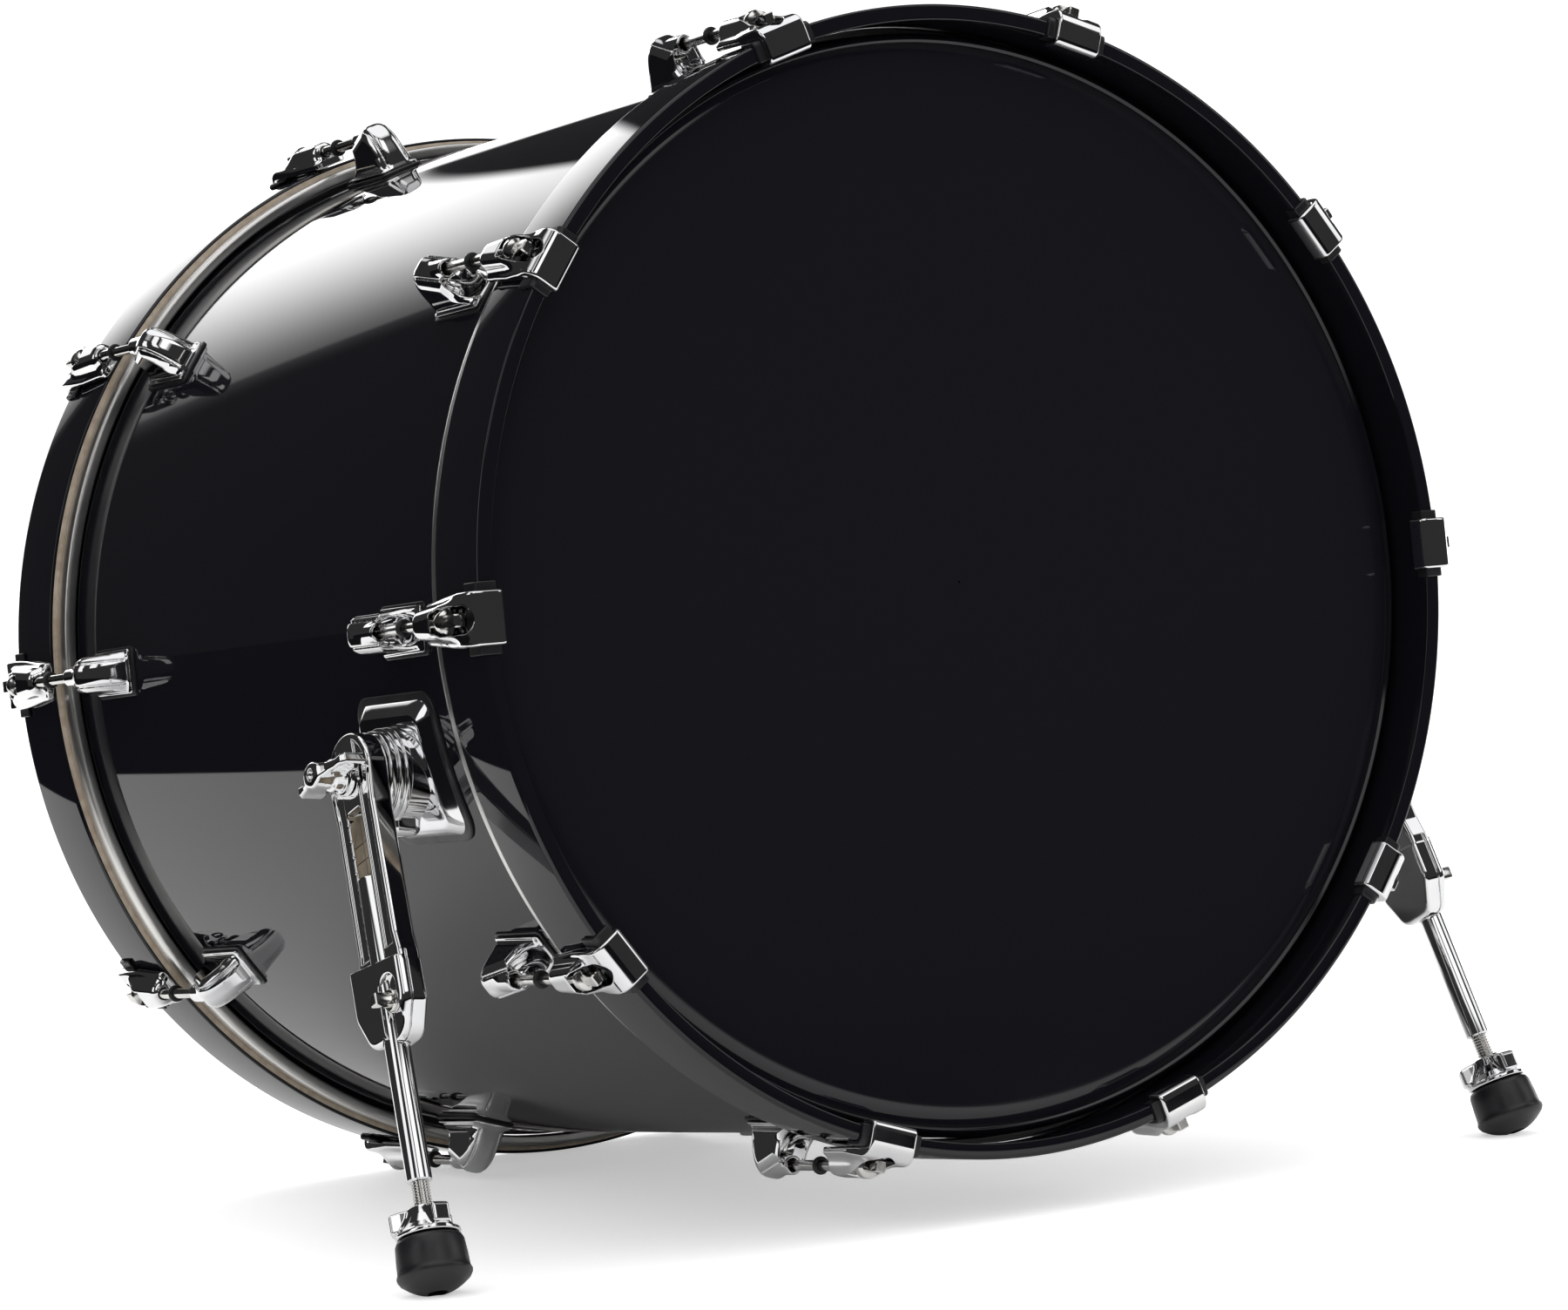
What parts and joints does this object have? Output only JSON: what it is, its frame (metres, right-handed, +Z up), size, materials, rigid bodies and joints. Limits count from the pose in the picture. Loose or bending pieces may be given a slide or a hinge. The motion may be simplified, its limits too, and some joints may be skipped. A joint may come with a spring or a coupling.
{
  "type": "bass drum",
  "caption": "Twenty-two inch bass drum lying on its side: glossy black shell and hoops, claw hooks with tension rods, cast lugs, and two folding telescopic spurs.",
  "frame": {"origin": "on the floor, under the middle of the drum's overall box", "axes": "+Y along the floor from the front (resonant) end to the batter end; +Z up; +X completes the frame, so the left spur, seen from in front, is at -X; the drum's own axis is tipped 3.2 degrees nose-up about X"},
  "size_m": [0.7, 0.5638, 0.6137],
  "materials": {
    "lacquer": "mirror-gloss black lacquer over plywood",
    "black_film": "smooth black polyester film, glossy",
    "coated_film": "sprayed white coating on film, lightly pebbled (guessed: the batter head is not seen)",
    "flesh_hoop": "satin aluminium",
    "chrome": "polished chrome plate",
    "steel_tube": "drawn steel tube, chromed",
    "foot_rubber": "matte black rubber"
  },
  "bodies": {
    "drum": {"shell": "lacquer", "vent_grommet": "chrome", "front_hoop": "lacquer", "batter_hoop": "lacquer", "front_head": "black_film", "batter_head": "coated_film", "front_flesh_hoop": "flesh_hoop", "batter_flesh_hoop": "flesh_hoop", "front_lug_01": "chrome", "front_lug_02": "chrome", "front_lug_03": "chrome", "front_lug_04": "chrome", "front_lug_05": "chrome", "front_lug_06": "chrome", "front_lug_07": "chrome", "front_lug_08": "chrome", "front_lug_09": "chrome", "front_lug_10": "chrome", "front_claw_rod_01": "chrome", "front_claw_rod_02": "chrome", "front_claw_rod_03": "chrome", "front_claw_rod_04": "chrome", "front_claw_rod_05": "chrome", "front_claw_rod_06": "chrome", "front_claw_rod_07": "chrome", "front_claw_rod_08": "chrome", "front_claw_rod_09": "chrome", "front_claw_rod_10": "chrome", "batter_lug_01": "chrome", "batter_lug_02": "chrome", "batter_lug_03": "chrome", "batter_lug_04": "chrome", "batter_lug_05": "chrome", "batter_lug_06": "chrome", "batter_lug_07": "chrome", "batter_lug_08": "chrome", "batter_lug_09": "chrome", "batter_lug_10": "chrome", "batter_claw_rod_01": "chrome", "batter_claw_rod_02": "chrome", "batter_claw_rod_03": "chrome", "batter_claw_rod_04": "chrome", "batter_claw_rod_05": "chrome", "batter_claw_rod_06": "chrome", "batter_claw_rod_07": "chrome", "batter_claw_rod_08": "chrome", "batter_claw_rod_09": "chrome", "batter_claw_rod_10": "chrome", "left_spur_bracket": "chrome", "right_spur_bracket": "chrome"},
    "left_spur_arm": {"left_spur_arm": "chrome"},
    "left_wing_bolt": {"left_wing_bolt": "chrome"},
    "left_leg_rod": {"left_leg_rod": "steel_tube"},
    "left_lock_nut": {"left_lock_nut": "chrome"},
    "left_foot": {"left_foot": "foot_rubber"},
    "right_spur_arm": {"right_spur_arm": "chrome"},
    "right_wing_bolt": {"right_wing_bolt": "chrome"},
    "right_leg_rod": {"right_leg_rod": "steel_tube"},
    "right_lock_nut": {"right_lock_nut": "chrome"},
    "right_foot": {"right_foot": "foot_rubber"}
  },
  "joints": [
    {"name": "left_spur_fold", "type": "hinge", "parent": "drum", "child": "left_spur_arm", "pos_m": [-0.3064, -0.14881, 0.24639], "axis": [0.9946, -0.0058, -0.1033], "range_deg": [0, 108]},
    {"name": "left_wing_bolt_turn", "type": "hinge", "parent": "drum", "child": "left_wing_bolt", "pos_m": [-0.3064, -0.14881, 0.24639], "axis": [-0.9946, 0.0058, 0.1033], "continuous": true},
    {"name": "left_leg_extend", "type": "slide", "parent": "left_spur_arm", "child": "left_leg_rod", "axis": [-0.098, -0.3721, -0.923], "range_m": [0, 0.06]},
    {"name": "left_lock_nut_turn", "type": "hinge", "parent": "left_leg_rod", "child": "left_lock_nut", "pos_m": [-0.3064, -0.14881, 0.24639], "axis": [-0.098, -0.3721, -0.923], "continuous": true},
    {"name": "left_foot_turn", "type": "hinge", "parent": "left_leg_rod", "child": "left_foot", "pos_m": [-0.3064, -0.14881, 0.24639], "axis": [-0.098, -0.3721, -0.923], "continuous": true},
    {"name": "right_spur_fold", "type": "hinge", "parent": "drum", "child": "right_spur_arm", "pos_m": [0.3064, -0.14881, 0.24639], "axis": [0.9946, 0.0058, 0.1033], "range_deg": [0, 108]},
    {"name": "right_wing_bolt_turn", "type": "hinge", "parent": "drum", "child": "right_wing_bolt", "pos_m": [0.3064, -0.14881, 0.24639], "axis": [0.9946, 0.0058, 0.1033], "continuous": true},
    {"name": "right_leg_extend", "type": "slide", "parent": "right_spur_arm", "child": "right_leg_rod", "axis": [0.098, -0.3721, -0.923], "range_m": [0, 0.06]},
    {"name": "right_lock_nut_turn", "type": "hinge", "parent": "right_leg_rod", "child": "right_lock_nut", "pos_m": [0.3064, -0.14881, 0.24639], "axis": [0.098, -0.3721, -0.923], "continuous": true},
    {"name": "right_foot_turn", "type": "hinge", "parent": "right_leg_rod", "child": "right_foot", "pos_m": [0.3064, -0.14881, 0.24639], "axis": [0.098, -0.3721, -0.923], "continuous": true}
  ]
}
